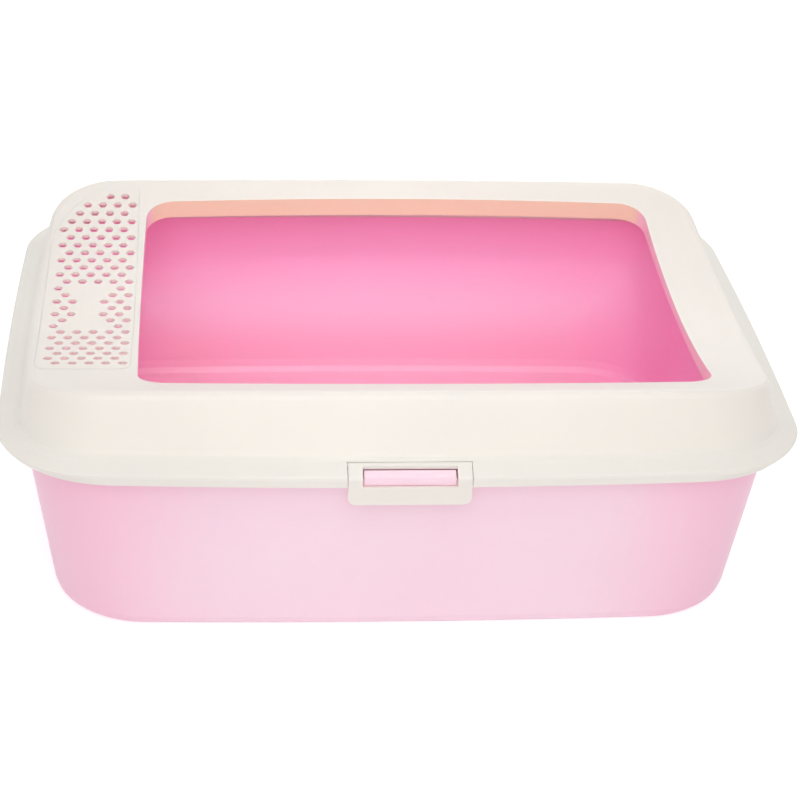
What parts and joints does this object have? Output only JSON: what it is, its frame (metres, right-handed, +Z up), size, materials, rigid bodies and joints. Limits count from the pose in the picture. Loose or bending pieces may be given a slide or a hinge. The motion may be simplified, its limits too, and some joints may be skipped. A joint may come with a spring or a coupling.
{
  "type": "litter box",
  "caption": "Open-top litter box: a tapered tub under a lift-off frame with a saddle-shaped top, a perforated step panel at one end and swing-out buckles that clip the frame down.",
  "frame": {"origin": "middle of the footprint, at floor level", "axes": "+X along the box away from the step panel, +Y from the front to the back, +Z up"},
  "size_m": [0.52, 0.392, 0.1708],
  "materials": {
    "tub_plastic": "satin",
    "frame_plastic": "satin",
    "panel_plastic": "satin",
    "buckle_plastic": "satin"
  },
  "bodies": {
    "tub": {"basin": "tub_plastic"},
    "frame": {"splash_frame": "frame_plastic", "step_grid": "panel_plastic"},
    "front_buckle": {"front_latch": "buckle_plastic"},
    "rear_buckle": {"rear_latch": "buckle_plastic"}
  },
  "joints": [
    {"name": "frame_lift", "type": "slide", "parent": "tub", "child": "frame", "axis": [0, 0, 1], "range_m": [0, 0.12]},
    {"name": "front_buckle_hinge", "type": "hinge", "parent": "frame", "child": "front_buckle", "pos_m": [0, -0.18511, 0.13221], "axis": [-1, 0, 0], "range_deg": [-8, 45]},
    {"name": "rear_buckle_hinge", "type": "hinge", "parent": "frame", "child": "rear_buckle", "pos_m": [0, 0.18511, 0.13221], "axis": [1, 0, 0], "range_deg": [-8, 45]}
  ]
}
